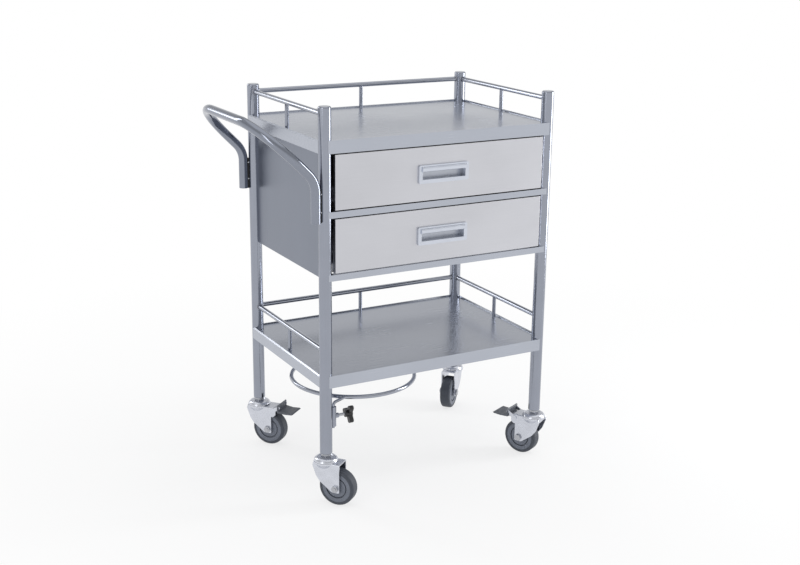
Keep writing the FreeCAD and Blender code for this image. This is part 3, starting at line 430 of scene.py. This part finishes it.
def handle_pins():
    """Two short pins through each strip between the handle's legs and the posts."""
    handle_r = 0.0095
    strip_width = 0.009
    pin_r = 0.0015
    pin_shows = 0.001
    pin_edge = 0.0005
    shares_of_height = (0.32, 0.87)
    pin = model(bpy.ops.mesh.primitive_cylinder_add, radius=pin_r, vertices=24,
                depth=strip_width + pin_shows * 2)
    edit_faces(pin, flat_end)
    bpy.ops.mesh.bevel(offset=pin_edge, segments=3, affect="EDGES")
    close_edit()
    low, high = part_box("handle_pads")
    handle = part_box("push_handle")[1]
    pins = []
    for corner, side in (("front_left", -1), ("back_left", 1)):
        post = flat(POSTS[corner])
        leg = Vector((handle.x - handle_r, side * (handle.y - handle_r), 0))
        between = (leg - post).normalized()
        centre = post + between * ((POST_R + (leg - post).length - handle_r) / 2)
        for share in shares_of_height:
            place = centre + UP * (low.z + (high.z - low.z) * share)
            pins.append(copy_to(pin, axes(between, UP, between.cross(UP), place)))
    bpy.data.objects.remove(pin)
    finish_piece(join(pins), "handle_pins", "bolt", "frame")


def drawer_hems():
    """The folded hem along the top of each drawer box."""
    width = 0.0035
    height = 0.005
    proud = 0.0004
    fold_r = 0.0009
    for level in ("upper", "lower"):
        low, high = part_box(level + "_drawer_box")
        size = high - low
        centre = (low + high) / 2
        hem = model(bpy.ops.mesh.primitive_plane_add, size=1,
                    location=(centre.x, centre.y, high.z + proud))
        bpy.ops.object.mode_set(mode="EDIT")
        bpy.ops.transform.resize(value=(size.x + proud * 2, size.y + proud * 2, 1))
        bpy.ops.mesh.inset(thickness=width)
        bpy.ops.mesh.delete(type="FACE")
        bpy.ops.mesh.select_all(action="SELECT")
        bpy.ops.mesh.extrude_region_move(TRANSFORM_OT_translate={"value": (0, 0, -height)})
        bpy.ops.mesh.select_all(action="SELECT")
        bpy.ops.mesh.normals_make_consistent(inside=False)
        close_edit()
        write_place(hem)
        modify(hem, "BEVEL", width=fold_r, segments=3, limit_method="ANGLE")
        finish_piece(hem, level + "_drawer_hem", "inside", level + "_drawer")


LINK_SHEET = 0.0013


def link_plate(length):
    """A flat link with two round ends, its first eye at the origin and the other along X."""
    eye_r = 0.0043
    taper = 0.8
    edge = 0.0003
    link = model(bpy.ops.mesh.primitive_cylinder_add, radius=eye_r, depth=LINK_SHEET, vertices=32)
    edit_faces(link, lambda centre, normal: centre.x > 0 and not flat_end(centre, normal))
    bpy.ops.mesh.extrude_region_move(TRANSFORM_OT_translate={"value": (length, 0, 0)})
    bpy.ops.transform.resize(value=(taper, taper, 1))
    close_edit()
    modify(link, "BEVEL", width=edge, segments=2, limit_method="ANGLE")
    return link


def hollow_rivet(place):
    """A short rivet with a rolled rim, its axis along Z."""
    rivet_r = 0.003
    depth = 0.0012
    rim = 0.0009
    rim_edge = 0.0004
    dish = 0.3
    rivet = model(bpy.ops.mesh.primitive_cylinder_add, radius=rivet_r, depth=depth, vertices=28,
                  location=place)
    edit_faces(rivet, flat_end)
    bpy.ops.mesh.bevel(offset=rim_edge, segments=3, affect="EDGES")
    close_edit()
    edit_faces(rivet, flat_end)
    bpy.ops.mesh.inset(thickness=rim)
    bpy.ops.transform.resize(value=(1, 1, dish))
    close_edit()
    write_place(rivet)
    return rivet


def brake_links():
    """The plated links from each brake's pin to its pedal, outside the fork's ears."""
    reach = 0.0175
    rise = 0.0105
    ears_out = 0.0172
    rivet_out = 0.0011
    length = math.hypot(reach, rise)
    link = join([link_plate(length), hollow_rivet((length, 0, rivet_out))])
    for corner in ("back_left", "front_right"):
        pivot = Vector(joints[corner + "_brake_press"]["pos_m"])
        trail = flat(middle(corner + "_tyre") - POSTS[corner]).normalized()
        along = (trail * reach + UP * rise).normalized()
        links = []
        for side in (trail.cross(UP), UP.cross(trail)):
            place = pivot + side * (ears_out + LINK_SHEET / 2)
            links.append(copy_to(link, axes(along, side.cross(along), side, place)))
        finish_piece(join(links), corner + "_brake_links", "zinc", corner + "_brake")
    bpy.data.objects.remove(link)


rail_welds()
handle_pins()
drawer_hems()
brake_links()


# Floor, light and camera


def make_floor():
    """A pale floor with the trolley's soft shadow, which turns plain white away from it."""
    half_white_at = 1
    turning_over = 1
    shadow_share = 0.28
    size = 80
    below_wheels = 0.0002
    paint = Paint("floor", (0.93, 0.935, 0.94), roughness=0.9)
    paint.blend(paint.noise(scale=2), (0.925, 0.93, 0.935), (0.94, 0.945, 0.95))
    rays = paint.add("ShaderNodeLightPath").outputs
    seen = (Shade(paint, rays["Is Camera Ray"]) + Shade(paint, rays["Is Glossy Ray"])
            + Shade(paint, rays["Is Transmission Ray"]))
    reach = paint.add("ShaderNodeVectorMath", {"operation": "LENGTH"}, {"Vector": paint.place})
    far = Shade(paint, reach.outputs["Value"]).above(half_white_at, turning_over)
    white = paint.add("ShaderNodeEmission", None, {"Color": (1, 1, 1, 1), "Strength": 1})
    mix = paint.add("ShaderNodeMixShader", None, {
        0: seen * (1 - (1 - far) * shadow_share),
        1: paint.shader.outputs["BSDF"], 2: white.outputs["Emission"]})
    paint.fill(paint.tree.nodes["Material Output"], {"Surface": mix.outputs["Shader"]})
    floor = model(bpy.ops.mesh.primitive_plane_add, size=size, location=(0, 0, -below_wheels))
    floor.name = "floor"
    floor.data.materials.append(paint.material)


def make_world():
    """Plain light from all round, palest at the horizon and dimmest halfway up."""
    grey_by_height = ((0, 0.93), (0.18, 0.86), (0.45, 0.55), (0.9, 0.75))
    world = bpy.data.worlds.new("studio")
    bpy.context.scene.world = world
    world.use_nodes = True
    sky = Nodes(world.node_tree)
    ways = sky.add("ShaderNodeTexCoord").outputs["Generated"]
    up = sky.add("ShaderNodeSeparateXYZ", None, {"Vector": ways}).outputs["Z"]
    ramp = sky.add("ShaderNodeValToRGB", {"stops": grey_by_height}, {"Fac": up})
    sky.fill(sky.tree.nodes["Background"], {"Color": ramp.outputs["Color"]})


def softbox(name, place, aim, width, height, power):
    """A rectangular lamp that the camera doesn't see."""
    light = bpy.data.lights.new(name, "AREA")
    light.shape = "RECTANGLE"
    light.size = width
    light.size_y = height
    light.energy = power
    obj = bpy.data.objects.new(name, light)
    obj.location = place
    obj.rotation_euler = (Vector(aim) - Vector(place)).to_track_quat("-Z", "Y").to_euler()
    obj.visible_camera = False
    bpy.context.scene.collection.objects.link(obj)


TROLLEY_MIDDLE = (0, 0, 0.5)
FLOOR_MIDDLE = (0, 0, 0)

make_floor()
make_world()
softbox("key", place=(1.75, -0.65, 0.8), aim=TROLLEY_MIDDLE, width=0.4, height=1.6, power=17)
softbox("fill", place=(-2.6, -1.2, 1.4), aim=TROLLEY_MIDDLE, width=0.5, height=2, power=8)
softbox("back", place=(-1.6, 2.6, 1.8), aim=TROLLEY_MIDDLE, width=0.6, height=2, power=14)
softbox("top", place=(0.2, 0.2, 3.4), aim=FLOOR_MIDDLE, width=4, height=4, power=16)

# fitted to the photograph: place in metres, and turn, tilt and roll in degrees
CAMERA = (-1.2546, -2.2696, 1.1443)
TURN, TILT, ROLL = -29.085, -16.432, 0.704
IMAGE_WIDTH, FOCAL_PIXELS = 800, 1268.2

camera_data = bpy.data.cameras.new("camera")
camera_data.sensor_width = 36
camera_data.lens = camera_data.sensor_width * FOCAL_PIXELS / IMAGE_WIDTH
camera = bpy.data.objects.new("camera", camera_data)
camera.matrix_world = (Matrix.Translation(CAMERA) @ Matrix.Rotation(math.radians(TURN), 4, "Z")
                       @ Matrix.Rotation(math.radians(90 + TILT), 4, "X")
                       @ Matrix.Rotation(math.radians(ROLL), 4, "Z"))
bpy.context.scene.collection.objects.link(camera)
bpy.context.scene.camera = camera
bpy.context.scene.view_settings.view_transform = "Standard"

bpy.context.view_layer.update()
